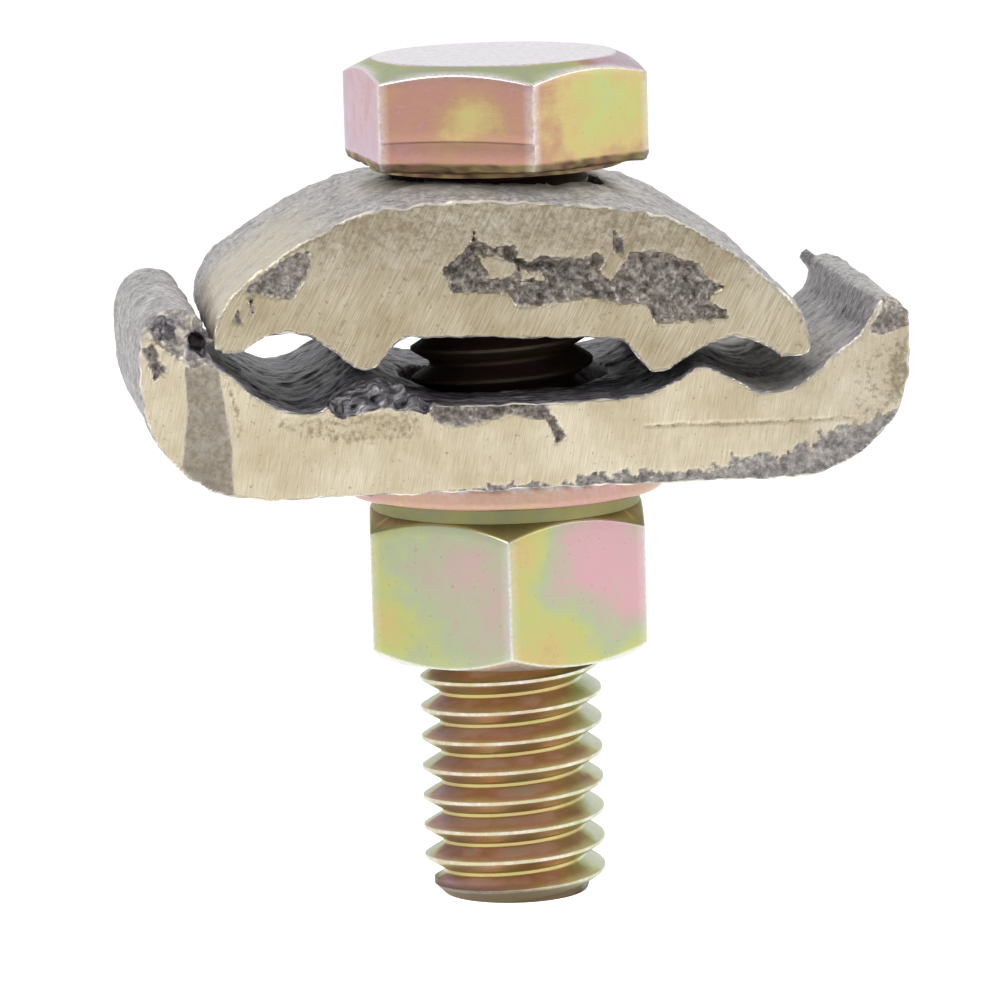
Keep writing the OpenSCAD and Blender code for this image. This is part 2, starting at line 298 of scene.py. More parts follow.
def yellow_zinc_plate():
    """Yellow-passivated zinc: a mirror-like metal, softened by fine dents, under an iridescent film."""
    material = bpy.data.materials.new("Yellow-passivated zinc plate")
    material.use_nodes = True
    tree = material.node_tree
    tree.nodes.clear()
    place = add(tree, "ShaderNodeTexCoord").outputs["Object"]
    film, silver, dull = [
        add(tree, "ShaderNodeAttribute", attribute_name=finish).outputs["Fac"]
        for finish in ("film", "silver", "dull")
    ]
    level = add(tree, "ShaderNodeMapping", {
        "Vector": place, "Scale": (BRUSH_LENGTH, BRUSH_LENGTH, 1),
    }, vector_type="TEXTURE").outputs[0]
    mottle, speck, brushed = [
        add(tree, "ShaderNodeTexNoise", {
            "Vector": where, "Scale": per_mm(size), "Detail": detail, "Roughness": 0.6,
        }).outputs[0]
        for where, size, detail in ((place, MOTTLE, 5), (place, SPECK, 2), (level, BRUSH, 2))
    ]

    thickness = film
    for pattern, swing in ((mottle, 0.16), (brushed, 0.05)):
        uneven = add(tree, "ShaderNodeMapRange", {
            "Value": pattern, "To Min": -swing, "To Max": swing,
        }).outputs[0]
        thickness = add(tree, "ShaderNodeMath", {0: thickness, 1: uneven}, operation="ADD").outputs[0]
    rubbed = add(tree, "ShaderNodeMapRange", {
        "Value": speck, "From Min": 0.3, "From Max": 0.7, "To Min": 0.5, "To Max": 1.2,
    }).outputs[0]
    bare = add(tree, "ShaderNodeMath", {
        0: silver, 1: rubbed,
    }, operation="MULTIPLY", use_clamp=True).outputs[0]
    pinprick = add(tree, "ShaderNodeMapRange", {
        "Value": speck, "From Min": 0.66, "From Max": 0.74, "To Max": 0.4,
    }).outputs[0]
    colour = add(tree, "ShaderNodeValToRGB", {"Fac": thickness}, stops=FILM_HUES).outputs[0]
    # The dark brown layer is dead film, and it also paints shade on the thread, the nut and the washer.
    for share, layer in ((pinprick, PINPRICK_BROWN), (dull, DULL_BROWN_AND_SHADE), (bare, BARE_ZINC)):
        colour = add(tree, "ShaderNodeMix", {
            FACTOR: share, COLOUR_A: colour, COLOUR_B: linear(layer),
        }, data_type="RGBA").outputs[COLOUR_OUT]

    roughness = add(tree, "ShaderNodeMapRange", {
        "Value": mottle, "To Min": 0.24, "To Max": 0.44,
    }).outputs[0]
    roughness = add(tree, "ShaderNodeMath", {
        0: dull, 1: 0.4, 2: roughness,
    }, operation="MULTIPLY_ADD", use_clamp=True).outputs[0]
    normal = add(tree, "ShaderNodeBump", {
        "Height": speck, "Strength": 0.25, "Distance": DENT * MM,
    }).outputs[0]
    shader = add(tree, "ShaderNodeBsdfPrincipled", {
        "Base Color": colour, "Metallic": 1.0, "Roughness": roughness, "Normal": normal,
    })
    add(tree, "ShaderNodeOutputMaterial", {"Surface": shader.outputs[0]})
    return material


yellow_zinc = yellow_zinc_plate()
print("material:", yellow_zinc.name)

# %% [markdown]
# ## From a bmesh to a piece
# Every piece is modelled in millimetres, because the drawing is, and is scaled to metres at the very
# end. The object itself stays at the origin, unturned and unscaled, with its place in its mesh. It
# then rides on its body, and the CAD node that it stands for is hidden.

# %% Finish a piece
def finished_piece(bm, name, node, body, material, crease=40):
    """Makes the object that stands for a CAD node from a bmesh in millimetres."""
    bmesh.ops.scale(bm, vec=(MM, MM, MM), verts=bm.verts)
    for face in bm.faces:
        face.smooth = True
    mesh = bpy.data.meshes.new(name)
    bm.to_mesh(mesh)
    bm.free()
    mesh.set_sharp_from_angle(angle=math.radians(crease))
    mesh.materials.append(material)
    piece = bpy.data.objects.new(name, mesh)
    bpy.context.scene.collection.objects.link(piece)
    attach(piece, body)
    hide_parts(node)
    triangles = sum(len(face.vertices) - 2 for face in mesh.polygons)
    print(f"{name}: {triangles} triangles")
    return piece


def write_finishes(bm, **finishes):
    """Writes numbers per vertex as point attributes, which the materials read."""
    for name, values in finishes.items():
        layer = bm.verts.layers.float.new(name)
        for vert, value in zip(bm.verts, values):
            vert[layer] = float(value)


def smoothstep(low, high, x):
    """Eases from 0 at low to 1 at high."""
    t = np.clip((x - low) / (high - low), 0, 1)
    return t * t * (3 - 2 * t)


print("pieces are scaled by", MM)

# %% [markdown]
# ## A casting from a clean form
# A casting is its drawn form plus accidents: sand grain, broken edges, gas pits, drips of metal. The
# drawn form is a merged copy of the CAD mesh. Booleans chip its edges, small balls become drips, and
# a voxel remesh joins them all into one skin of even squares, fine enough to be pushed about.
# Subdividing only the ground front keeps the net small elsewhere. A smooth noise then moves every
# point as one body, so that edges wander with the faces beside them and nothing folds over.

# %% From a CAD mesh to one skin
VOXEL = 0.2                # edge of the remeshed squares
FRONT_DEPTH = 1.0          # how far behind the front face the net is made finer
MERGE = 0.002              # corners of the CAD mesh that are closer than this become one
END_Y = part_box("clamp_base")[1].y / MM     # half the jaws' length


def cad_copy(node, lie):
    """A merged copy of a CAD node in millimetres, laid square by undoing how it lies."""
    bm = bmesh.new()
    bm.from_mesh(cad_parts[node].data)
    bmesh.ops.scale(bm, vec=(1 / MM,) * 3, verts=bm.verts)
    bmesh.ops.remove_doubles(bm, verts=bm.verts, dist=MERGE)
    bmesh.ops.transform(bm, matrix=lie.inverted(), verts=bm.verts)
    return bm


def held_by_object(bm, name):
    """Puts a bmesh into a scratch object, which modifiers can work on."""
    mesh = bpy.data.meshes.new(name)
    bm.to_mesh(mesh)
    bm.free()
    holder = bpy.data.objects.new(name, mesh)
    bpy.context.scene.collection.objects.link(holder)
    return holder


def released(form, *tools):
    """The modified form as a bmesh again, with the scratch objects removed."""
    bm = bmesh.new()
    bm.from_object(form, bpy.context.evaluated_depsgraph_get())
    for scratch in (form, *tools):
        mesh = scratch.data
        bpy.data.objects.remove(scratch)
        bpy.data.meshes.remove(mesh)
    return bm


def chipped(bm, outline, depth, lean):
    """Takes a chip out of the front face: its outline there, its depth at its lowest point, and how much
    deeper it goes for each millimetre of height."""
    tool = bmesh.new()
    corners = [tool.verts.new((x, -END_Y - 1, z)) for x, z in outline]
    face = bmesh.ops.contextual_create(tool, geom=corners)["faces"]
    made = bmesh.ops.extrude_face_region(tool, geom=face)["geom"]
    lowest = min(z for x, z in outline)
    for vert in made:
        if isinstance(vert, bmesh.types.BMVert):
            vert.co.y = depth - END_Y + lean * (vert.co.z - lowest)
    bmesh.ops.recalc_face_normals(tool, faces=tool.faces)
    form, tool = held_by_object(bm, "scratch_form"), held_by_object(tool, "scratch_tool")
    boolean = form.modifiers.new("Chip", "BOOLEAN")
    boolean.object = tool
    boolean.operation = "DIFFERENCE"
    boolean.solver = "EXACT"
    return released(form, tool)


def skinned(bm):
    """The form, and whatever balls stand in it, as one skin of even squares."""
    form = held_by_object(bm, "scratch_form")
    remesh = form.modifiers.new("Skin", "REMESH")
    remesh.mode = "VOXEL"
    remesh.voxel_size = VOXEL
    return released(form)


def finer_front(bm):
    """Halves the squares of the front face and just behind it."""
    front = [e for e in bm.edges if max(v.co.y for v in e.verts) < FRONT_DEPTH - END_Y]
    bmesh.ops.subdivide_edges(bm, edges=front, cuts=1, use_grid_fill=True)


print("castings are skinned at", VOXEL, "mm")

# %% [markdown]
# A belt grinds the two ends flat after casting. So the points of those ends are marked while the form
# is still clean: they wander sideways with the rest, but stay in their plane. Numbers for a whole
# mesh are worked out as arrays, which is quicker than point by point.

# %% Sand and noise
SAND_WAVES = ((2.6, 0.12), (0.9, 0.09), (0.4, 0.05))    # size and height of the sand's unevenness
noise.seed_set(7)          # the same sand at every run


def end_faces(bm):
    """Which vertices lie on the ground ends: -1 on the front, 1 on the back, else 0."""
    bm.normal_update()
    sides = []
    for vert in bm.verts:
        side = math.copysign(1, vert.co.y)
        flat = side * vert.normal.y > 0.93 and abs(vert.co.y - side * END_Y) < 0.4 * VOXEL
        sides.append(side if flat else 0)
    return np.array(sides)


def sand_cast(bm, sides, seed):
    """Wanders every point by a smooth noise, and grinds the two ends flat again."""
    for vert, side in zip(bm.verts, sides):
        start = vert.co + Vector((seed, seed, seed))
        for size, height in SAND_WAVES:
            vert.co += noise.noise_vector(start / size) * height
        if side:
            vert.co.y = side * END_Y
    bm.verts.ensure_lookup_table()


def coordinates(bm):
    """Every vertex's place and normal as arrays."""
    bm.normal_update()
    return np.array([v.co for v in bm.verts]), np.array([v.normal for v in bm.verts])


def patchy(points, size, seed):
    """Smooth noise from about -1 to 1 at points in space, with features of about this size."""
    return np.array([noise.noise(Vector(p) / size + Vector((seed, seed, seed))) for p in points])


print("sand in", len(SAND_WAVES), "sizes")

# %% [markdown]
# ## Pits and marks on a ground face
# Grinding opens the gas pits just under a casting's skin. A pit is drawn as a short outline on the
# face. Its distance field, roughened by noise, says which points sink and how far, which gives the
# ragged rims and lumpy floors that a boolean could not.

# %% Sink marks into the front face
def depth_inside(points, outline):
    """How far each point lies inside a closed outline, in millimetres: below zero outside."""
    inside = np.zeros(len(points), bool)
    nearest = np.full(len(points), np.inf)
    corners = np.array(outline, float)
    for a, b in zip(corners, np.roll(corners, -1, axis=0)):
        side = b - a
        share = np.clip((points - a) @ side / (side @ side), 0, 1)
        nearest = np.minimum(nearest, np.linalg.norm(points - a - share[:, None] * side, axis=1))
        if a[1] != b[1]:
            crossing = (a[1] > points[:, 1]) != (b[1] > points[:, 1])
            at_x = a[0] + (points[:, 1] - a[1]) * side[0] / side[1]
            inside ^= crossing & (points[:, 0] < at_x)
    return np.where(inside, nearest, -nearest)


def sink(bm, sides, outlines, islands=(), depth=0.45, ragged=0.16, lumpy=0.16, seed=0.0):
    """Sinks pits with ragged rims and lumpy beds into the front face, and leaves the islands standing.
    Returns how much each vertex belongs to a pit."""
    front = np.flatnonzero(sides < 0)
    verts = [bm.verts[i] for i in front]
    points = np.array([(v.co.x, v.co.z) for v in verts])
    within = np.max([depth_inside(points, outline) for outline in outlines], axis=0)
    for island in islands:
        within = np.minimum(within, -depth_inside(points, island))
    near = within > -3 * ragged
    flat = [(x, 0, z) for x, z in points[near]]
    rim = np.zeros(len(points))
    bed = np.zeros(len(points))
    rim[near] = 0.7 * patchy(flat, 0.45, seed) + 0.5 * patchy(flat, 0.2, seed + 7)
    bed[near] = patchy(flat, 0.55, seed + 3) + 0.7 * patchy(flat, 0.25, seed + 5)
    inside = within + ragged * rim
    share = smoothstep(-0.04, 0.07, inside)
    reach = 0.55 + 0.45 * smoothstep(0, 0.5, inside)
    sunk = share * (depth * reach + lumpy * bed)
    for vert, drop in zip(verts, sunk):
        vert.co.y += max(0.0, drop)
    pit = np.zeros(len(bm.verts))
    pit[front] = share
    return pit


def worn_rim(bm, sides, width, seed):
    """Rubbed metal along the rim of the front face, broken up by noise."""
    points = coordinates(bm)[0]
    rim = (sides == 0) * smoothstep(width, 0.3 * width, points[:, 1] + END_Y)
    near = np.flatnonzero(rim > 0)
    rim[near] *= smoothstep(-0.45, 0.25, patchy(points[near], 0.9, seed))
    return rim


RIM_WEAR = 0.24            # width of the rubbed rim
print("rims are rubbed", RIM_WEAR, "mm wide")

# %% [markdown]
# ## The saddle
# The upper jaw is an arched casting that lies a little askew on the base, because no cable holds it
# level. It is laid square first, so that its ground front is a flat plane to draw on, and goes back
# to its own lie at the end. The drawn hollows of its front are filled and sunk anew with ragged rims:
# a long gas hollow with two islands of metal left flush in it, a broken patch under the left
# shoulder, and a few pinholes. Its left flank was rubbed smooth and pale in use, and a ring of painted
# light under the bolt's head lifts the shade there.

# %% Outlines on the saddle's front
GAS_BAND = [
    (-3.6, 5.2), (-2.3, 6.4), (-2.1, 7.1), (-1.9, 6.6), (-1.0, 6.3), (0.0, 6.5), (0.1, 5.8), (0.9, 5.5),
    (1.3, 5.9), (3.5, 5.8), (4.2, 6.1), (4.7, 5.6), (4.3, 5.2), (5.0, 4.5), (5.5, 3.6), (3.6, 3.9),
    (1.8, 3.4), (0.1, 3.4), (-0.3, 4.0), (-3.2, 4.1),
]
GAS_POCKET = [
    (5.0, 4.6), (5.4, 5.3), (6.0, 6.1), (6.9, 6.3), (9.5, 5.6), (9.7, 5.0), (10.7, 4.4), (10.1, 4.0),
    (10.0, 3.6), (10.9, 3.2), (10.9, 2.8), (7.3, 2.6), (6.8, 3.5), (5.2, 3.6),
]
FLUSH_ISLANDS = [
    [(-1.9, 6.0), (-0.9, 5.9), (0.1, 5.5), (0.2, 5.1), (-0.8, 4.7), (-1.2, 4.7), (-1.7, 5.4)],
    [(0.3, 5.3), (0.7, 5.0), (1.1, 5.2), (1.6, 4.9), (1.6, 4.6), (0.9, 4.7), (0.3, 4.6)],
]
SHOULDER_PATCH = [
    (-13.8, 4.0), (-12.4, 5.1), (-11.6, 5.7), (-10.4, 6.1), (-10.5, 5.3), (-10.8, 4.4), (-11.3, 3.6),
    (-12.6, 3.7),
]
PINHOLES = [
    [(-13.5, 3.8), (-13.3, 3.5), (-13.2, 2.7), (-13.4, 2.9)],
    [(-14.0, 3.2), (-13.8, 2.3), (-14.3, 2.4)],
    [(5.0, 7.3), (5.6, 6.8), (5.5, 6.1), (5.1, 6.1)],
]
print("saddle: a gas hollow,", len(FLUSH_ISLANDS), "islands and", len(PINHOLES), "pinholes")

# %% Form of the saddle
SADDLE_SHIFT = -0.35                # its lie on the base, as drawn
SADDLE_REST_Z = 6.1
SADDLE_TILT = math.radians(2.8)     # left side up
SADDLE_TURN = math.radians(-1.4)    # about the bolt
DRAWN_DEPTH = 0.5                   # depth of the drawn hollows

saddle_lie = (
    Matrix.Translation((SADDLE_SHIFT, 0, SADDLE_REST_Z))
    @ Matrix.Rotation(SADDLE_TURN, 4, "Z")
    @ Matrix.Rotation(SADDLE_TILT, 4, "Y")
)
bm = cad_copy("clamp_saddle", saddle_lie)
for vert in bm.verts:
    if vert.co.y < 1.1 * DRAWN_DEPTH - END_Y:
        vert.co.y = -END_Y
bm = skinned(bm)
finer_front(bm)
sides = end_faces(bm)
sand_cast(bm, sides, seed=11.3)
pit = sink(bm, sides, [GAS_BAND, GAS_POCKET], FLUSH_ISLANDS, depth=0.6, lumpy=0.32, seed=1.0)
pit = np.maximum(pit, sink(bm, sides, [SHOULDER_PATCH], depth=0.4, seed=2.0))
pit = np.maximum(pit, sink(bm, sides, PINHOLES, depth=0.4, ragged=0.07, seed=3.0))
print("saddle:", len(bm.verts), "points,", int((pit > 0.5).sum()), "in pits")

# %% [markdown]
# The numbers below place its finishes, in the saddle's own square lie: grease and painted shade on
# every face that turns down, specks that grow denser and a ground front painted darker towards its
# top, which is painted shade, painted highlights on the pit rims, the rubbed left flank, and a ring of
# painted light under the bolt's head.

# %% Finish of the saddle
points, normals = coordinates(bm)
x, y, z = points.T
flank = (sides == 0) * smoothstep(-3.5, -7.0, x) * smoothstep(8.0, -3.0, y) * (normals[:, 2] > -0.3)
rubbed = flank * smoothstep(8.0, 5.5, z) * smoothstep(-1.0, -0.1, patchy(points, 3.0, 4.0))
# Painted shade: the ground front turns darker towards its top, where a fifth of the ground metal gives way
# to the dark layer beneath and brown specks grow denser.
high = smoothstep(2.5, 7.5, z)
# Painted highlights along the rims of the pits.
rim_light = 4 * pit * (1 - pit) * smoothstep(-0.2, 0.3, patchy(points, 0.7, 12.0))
# Painted light: a pale ring round the bolt's head, on faces that look up, lifts the shade that the head
# casts.
painted_light_under_head = (sides == 0) * (normals[:, 2] > 0.5) * smoothstep(9.0, 7.0, np.hypot(x, y))
painted_light_under_head *= smoothstep(-0.6, 0.2, patchy(points, 0.8, 14.0))
write_finishes(
    bm,
    ground=np.maximum((sides != 0) * (1 - pit) * (1 - 0.2 * high), 0.75 * rubbed),
    # Grease and painted shade: dark grey on every face that turns down. On the ends it lies under the
    # ground metal and shows where that thins towards the top.
    dirt=np.where(sides == 0, 0.9 * smoothstep(0.1, -0.3, normals[:, 2]), 1.0),
    pit=pit,
    stain=(sides != 0) * np.maximum(0.35 * smoothstep(0.1, 0.5, patchy(points, 1.6, 5.0)), 0.52 * high),
    worn=np.maximum.reduce([
        worn_rim(bm, sides, RIM_WEAR, seed=6.0), 0.6 * rim_light, 0.3 * rubbed, 0.45 * painted_light_under_head,
    ]),
)
bmesh.ops.transform(bm, matrix=saddle_lie, verts=bm.verts)
finished_piece(bm, "cast_saddle", "clamp_saddle", "saddle", saddle_bronze)

# %% [markdown]
# ## The base
# The lower jaw was cast in the same sand. The tips of both flanges and the front end of the left rib
# are chipped, with drips of metal beside them. A shallow strip on the left of the front face was
# never reached by the belt, nor was the rounded skin along the bottom right. The grooves grow
# shallower towards the rear, because the pattern was drawn out of the sand that way.

# %% Outlines on the base
# Of a chip: outline on the front face, depth at its lowest point, deeper per mm up, pale metal, painted
# shade in its hollow
CHIPS = (
    ([(-19.8, 9.1), (-18.9, 8.6), (-18.2, 8.1), (-17.5, 7.5), (-16.9, 7.05), (-16.2, 7.3), (-15.4, 7.1),
      (-15.4, 10.4), (-19.8, 10.4)], 0.3, 0.35, 0.7, 0.2),
    ([(-18.85, 9.1), (-18.3, 9.5), (-17.7, 9.2), (-17.75, 8.4), (-18.4, 8.5)], 2.6, 0.0, 0.0, 1.0),
    ([(-17.1, 8.5), (-16.6, 8.75), (-16.1, 8.3), (-16.15, 7.6), (-16.8, 7.6)], 2.4, 0.0, 0.0, 1.0),
    ([(-9.9, 4.7), (-9.5, 4.2), (-8.7, 4.35), (-7.6, 4.5), (-6.5, 4.45), (-5.6, 4.3), (-4.8, 4.2),
      (-4.6, 6.4), (-9.9, 6.4)], 0.6, 0.3, 0.12, 1.0),
    ([(18.0, 7.35), (18.5, 8.2), (19.0, 9.4), (20.4, 9.4), (20.4, 7.6), (19.9, 7.7), (18.4, 7.2)],
     0.25, 0.15, 0.1, 0.0),
)
DRIPS = (                  # place and radius
    (-9.0, -8.6, 4.7, 0.34), (-8.2, -8.7, 4.9, 0.40), (-7.5, -8.5, 5.4, 0.42), (-6.9, -8.7, 4.8, 0.38),
    (-6.3, -8.5, 5.2, 0.40), (-5.6, -8.7, 4.6, 0.36), (-19.1, -8.8, 8.8, 0.28), (-18.5, -8.7, 8.7, 0.30),
    (-18.3, -8.3, 9.2, 0.36), (-17.1, -8.2, 9.4, 0.34), (-16.4, -8.3, 9.1, 0.34), (-15.9, -8.7, 8.3, 0.26),
    (-16.4, -8.8, 7.2, 0.36), (-17.4, -8.8, 7.6, 0.28), (18.25, 8.7, 8.75, 0.45), (17.95, 8.75, 9.05, 0.38),
)
MISSED_STRIP = [
    (-17.3, 7.1), (-17.2, 4.6), (-17.6, 1.9), (-16.9, 1.1), (-16.0, 0.5), (-15.0, 0.2), (-15.0, 3.0),
    (-15.4, 5.9), (-15.6, 7.2),
]
SLIP_SCRATCH = [(-15.1, 6.6), (-14.7, 5.3), (-14.5, 2.9), (-14.75, 4.0)]
FLANGE_PIT = [(-19.4, 8.0), (-18.8, 8.3), (-18.3, 6.9), (-18.8, 6.5), (-19.1, 7.1)]
ROUGH_SILL = [
    (-5.0, 4.7), (0.9, 4.7), (1.7, 3.3), (2.1, 2.5), (1.5, 2.2), (1.4, 3.0), (1.0, 3.5), (-0.6, 3.9),
    (-3.4, 3.3), (-4.6, 3.7),
]
SKIN_BAND = [
    (-4.5, -0.5), (-4.0, 0.2), (2.2, 0.2), (3.6, 0.8), (4.4, 0.5), (10.4, 0.6), (10.7, 1.1), (12.6, 1.3),
    (13.1, 0.8), (14.4, 1.8), (14.9, 1.2), (15.2, 2.2), (17.9, 2.7), (19.4, 3.3), (20.5, 4.4), (20.5, -0.5),
]
SCORED_LINE = [(6.1, 3.05), (10.5, 3.0), (17.1, 2.98), (17.1, 2.88), (10.5, 2.86), (6.1, 2.97)]
STAINS = (                 # outline on the front face and how thick the specks are
    ([(-14.0, 4.2), (-9.5, 4.4), (-5.0, 4.4), (-5.5, 2.8), (-10.0, 2.6)], 0.52),
    ([(18.6, 3.4), (18.7, 5.2), (19.0, 6.9), (19.9, 7.2), (20.2, 4.1)], 0.75),
    ([(16.8, 1.6), (17.0, 6.0), (18.5, 6.9), (19.4, 6.9), (19.0, 3.0)], 0.45),
    (SLIP_SCRATCH, 1.0),
    (SCORED_LINE, 0.9),
)
print("base:", len(CHIPS), "chips,", len(DRIPS), "drips and", len(STAINS), "stains")

# %% Form of the base
RIBS_X = (-7.65, 9.2)      # middles of the base's ribs
DRAFT = 0.4                # how much shallower the grooves are at the rear
WALL_TWIST = 0.35          # how much further in the right flange's rear end stands

bm = cad_copy("clamp_base", Matrix.Identity(4))
for outline, depth, lean, *_ in CHIPS:
    bm = chipped(bm, outline, depth, lean)
for x, y, z, radius in DRIPS:
    bmesh.ops.create_icosphere(bm, subdivisions=2, radius=radius, matrix=Matrix.Translation((x, y, z)))
bm = skinned(bm)
finer_front(bm)
sides = end_faces(bm)

points = coordinates(bm)[0]
x, y, z = points.T
to_rear = (y + END_Y) / (2 * END_Y)
between_flanges = smoothstep(-15.5, -13.0, x) * smoothstep(17.0, 14.5, x) * smoothstep(2.0, 4.0, z)
off_rib = 1 - 0.6 * np.max([np.exp(-((x - rib) / 1.3) ** 2) for rib in RIBS_X], axis=0)
rises = DRAFT * between_flanges * off_rib * to_rear
steps_in = WALL_TWIST * smoothstep(7.4, 8.8, z) * smoothstep(19.6, 18.8, x) * (x > 0) * to_rear
for vert, rise, step_in in zip(bm.verts, rises, steps_in):
    vert.co.z += rise
    vert.co.x -= step_in
sand_cast(bm, sides, seed=37.1)
print("base:", len(bm.verts), "points")

# %% [markdown]
# The broken edges are found again by their outlines, roughened, and given their pale metal and the painted
# shade of their hollows.
# Then the pits, the strip, the scored lines and the skin along the bottom are sunk.

# %% Marks on the base
on_face = np.column_stack((x, z))
chip, nodule, hollow_shade, lip = np.zeros((4, len(x)))
lumps = smoothstep(0.1, 0.5, patchy(points, 0.5, 9.0))
for outline, depth, lean, pale, shade_in_hollow in CHIPS:
    floor_y = depth - END_Y + lean * (z - min(corner[1] for corner in outline))
    within = depth_inside(on_face, outline)
    broken = (within > -0.12) * (y < floor_y + 0.3) * (sides == 0)
    lip = np.maximum(lip, (sides < 0) * smoothstep(-0.22, -0.06, within))
    chip = np.maximum(chip, broken)
    nodule = np.where(broken, pale * lumps, nodule)
    # Painted shade: dark grey in the hollow of a chip.
    hollow_shade = np.where(broken, shade_in_hollow, hollow_shade)
for i in np.flatnonzero(chip):
    bm.verts[i].co += noise.noise_vector(bm.verts[i].co / 0.5) * 0.2
pit = sink(bm, sides, [FLANGE_PIT, ROUGH_SILL], depth=0.45, seed=5.0)
strip = sink(bm, sides, [MISSED_STRIP], depth=0.14, ragged=0.05, lumpy=0.03, seed=6.0)
sink(bm, sides, [SLIP_SCRATCH, SCORED_LINE], depth=0.1, ragged=0.03, lumpy=0.02, seed=7.0)
skin = sink(bm, sides, [SKIN_BAND], depth=0.14, ragged=0.5, lumpy=0.16, seed=8.0)
stain = 0.66 * strip
for outline, specks in STAINS:
    within = depth_inside(on_face, outline)
    stain = np.maximum(stain, specks * (sides < 0) * smoothstep(-0.4, 0.4, within))
print("base:", int(chip.sum()), "points on broken edges,", int((pit > 0.5).sum()), "in pits")

# %% [markdown]
# Grease and painted shade lie on what faces up between the flanges, darkest down in the grooves. The
# right groove is painted lighter, with painted glints, in place of light that doesn't reach it.

# %% Finish of the base
points, normals = coordinates(bm)
# Grease and painted shade on faces that look up between the flanges, darker low in the grooves.
inner = (sides == 0) * smoothstep(0.1, 0.4, normals[:, 2]) * (np.abs(x - 1.3) < 17.2) * (z > 2.5)
# Painted light: in the right groove the dark layer is thinned and pale glints are painted, in place of
# light that doesn't reach it.
in_right_groove = smoothstep(9.0, 11.0, x) * smoothstep(7.6, 5.4, z)
least_grease_and_shade = 0.5 + 0.2 * smoothstep(13.0, 15.0, x)
grease_and_shade_depth = np.maximum(smoothstep(7.8, 5.2, z), least_grease_and_shade) * (1 - 0.8 * in_right_groove)
painted_glint = 0.45 * inner * in_right_groove * smoothstep(-0.4, 0.3, patchy(points, 1.1, 15.0))
# Painted highlights along the rims of the pits and the chips.
rim_light = np.maximum(4 * pit * (1 - pit), lip) * smoothstep(-0.3, 0.2, patchy(points, 0.7, 13.0))
faded = 1 - 0.15 * smoothstep(8.0, 17.0, x)
write_finishes(
    bm,
    ground=(sides != 0) * (1 - np.maximum.reduce([pit, 0.6 * strip, skin])) * faded,
    dirt=np.maximum(inner * grease_and_shade_depth, hollow_shade),
    pit=np.maximum.reduce([pit, 0.2 * strip, 0.6 * skin, chip - 0.95 * hollow_shade]),
    stain=stain,
    worn=np.maximum.reduce([
        worn_rim(bm, sides, RIM_WEAR, seed=9.0) * (1 - chip), nodule, 0.7 * rim_light, painted_glint,
    ]),
)
finished_piece(bm, "cast_base", "clamp_base", "base", base_bronze)

# %% [markdown]
# ## The bolt's head
# A hex head is forged, and its top is chamfered on a lathe: a cone meets the six flats in six shallow
# arcs. In Blender the same form grows from a small disc. Its rim is extruded again and again, and
# each new ring is moved to the radius and height that the cone, the hexagon or the bearing face has
# in that direction. Bevels then round the corners, where the plating wears to silver.

# %% Rings for turned and hexagonal pieces
RING = 96                  # vertices around, sixteen to a flat
HEX_ACROSS = 14.29
APOTHEM = HEX_ACROSS / 2


def off_flat(angle, turn):
    """Angle from the middle of the nearest flat of a hexagon with a corner at turn."""
    return (angle - turn) % math.radians(60) - math.radians(30)


def flat_number(angle, turn):
    """Which flat of the hexagon lies in this direction, counted from the corner at turn."""
    return int(((angle - turn) % math.tau) // math.radians(60))


def hex_radius(turn):
    """The hexagon's radius as a function of the angle."""
    return lambda angle: APOTHEM / math.cos(off_flat(angle, turn))


def from_corner(angle, turn):
    """Distance along a flat to its nearest corner."""
    return APOTHEM * (math.tan(math.radians(30)) - abs(math.tan(off_flat(angle, turn))))


def first_ring(bm, radius, z, turn):
    """An open ring of edges with a vertex at each corner of the hexagon."""
    spin_to_corner = Matrix.Rotation(turn, 4, "Z")
    made = bmesh.ops.create_circle(bm, segments=RING, radius=radius, matrix=spin_to_corner)["verts"]
    bmesh.ops.translate(bm, vec=(0, 0, z), verts=made)
    return list({edge for vert in made for edge in vert.link_edges})


def grow(bm, rim, radius, z):
    """Extrudes a rim into a new ring. Radius and height are numbers, or functions of the angle."""
    made = bmesh.ops.extrude_edge_only(bm, edges=rim)["geom"]
    for vert in made:
        if isinstance(vert, bmesh.types.BMVert):
            angle = math.atan2(vert.co.y, vert.co.x)
            r = radius(angle) if callable(radius) else radius
            height = z(angle) if callable(z) else z
            vert.co = (r * math.cos(angle), r * math.sin(angle), height)
    return [e for e in made if isinstance(e, bmesh.types.BMEdge) and e.is_boundary]


def upright_corners(bm, turn, low, high):
    """Edges that run up the corners of a hexagon between two heights."""
    found = []
    for edge in bm.edges:
        a, b = (v.co for v in edge.verts)
        at_corner = from_corner(math.atan2(a.y, a.x), turn) < 0.05
        if at_corner and (a.xy - b.xy).length < 0.02 and low < min(a.z, b.z) and max(a.z, b.z) < high:
            found.append(edge)
    return found


def bevel(bm, edges, width, segments=3):
    """Rounds edges."""
    bmesh.ops.bevel(
        bm, geom=edges, offset=width, offset_type="OFFSET", segments=segments, profile=0.5,
        affect="EDGES", material=-1, clamp_overlap=True,
    )


print("rings of", RING, "vertices")

# %% [markdown]
# ## Interference colours
# The chromate film dries thicker in the middle of a flat than at its rim, or the other way round, so
# each flat shows rings of colour about a centre of its own. A row of the tables below gives, for one
# flat, where that centre is, the film there and at the rim, and how far the centre's colour spreads.

# %% Film on the flats
def swirl(point, size, seed):
    """Slow noise over a plated piece, from -1 to 1."""
    return noise.noise(Vector(point) / size + Vector((seed, seed, seed)))


